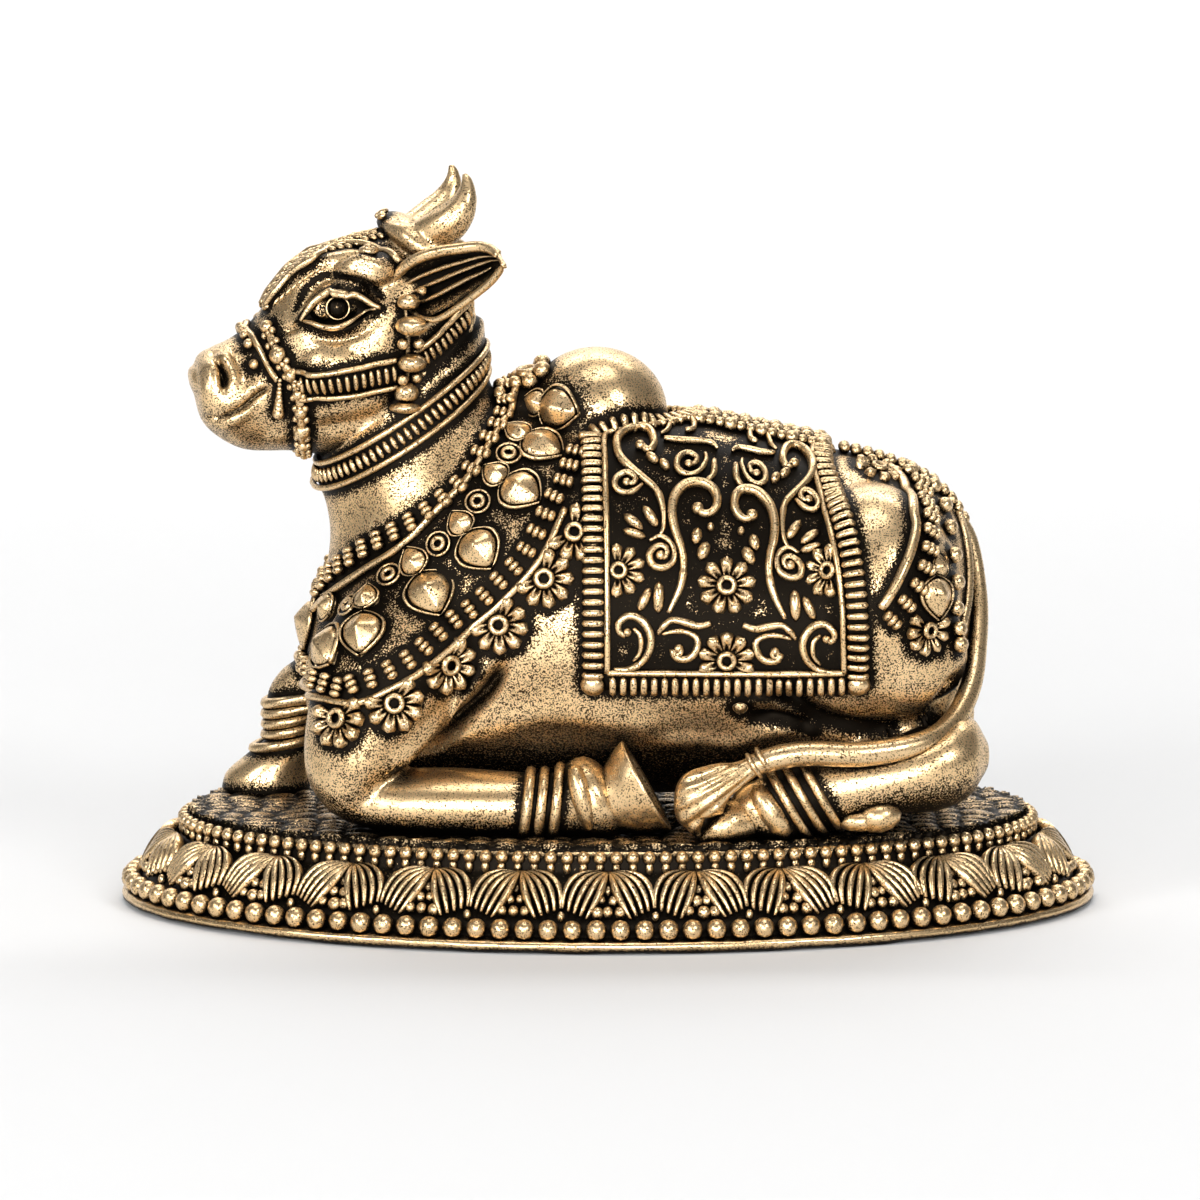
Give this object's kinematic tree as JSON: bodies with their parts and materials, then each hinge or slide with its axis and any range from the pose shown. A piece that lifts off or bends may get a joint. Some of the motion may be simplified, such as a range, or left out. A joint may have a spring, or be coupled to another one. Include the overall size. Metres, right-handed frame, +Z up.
{
  "type": "nandi bull figure",
  "caption": "Small cast brass figure of a resting bull in harness and saddle cloth, on an oval lotus base that stands flat.",
  "frame": {"origin": "middle of the flat underside of the oval base", "axes": "+X runs along the base from the bull's head to its rump, so the bull faces -X; -Y is the side its head turns to; +Z is up"},
  "size_m": [0.1, 0.062, 0.075],
  "materials": {
    "antique_brass": "polished high spots with dark patina in the recesses"
  },
  "bodies": {
    "root": {"nandi_on_lotus_base": "antique_brass"}
  },
  "joints": []
}
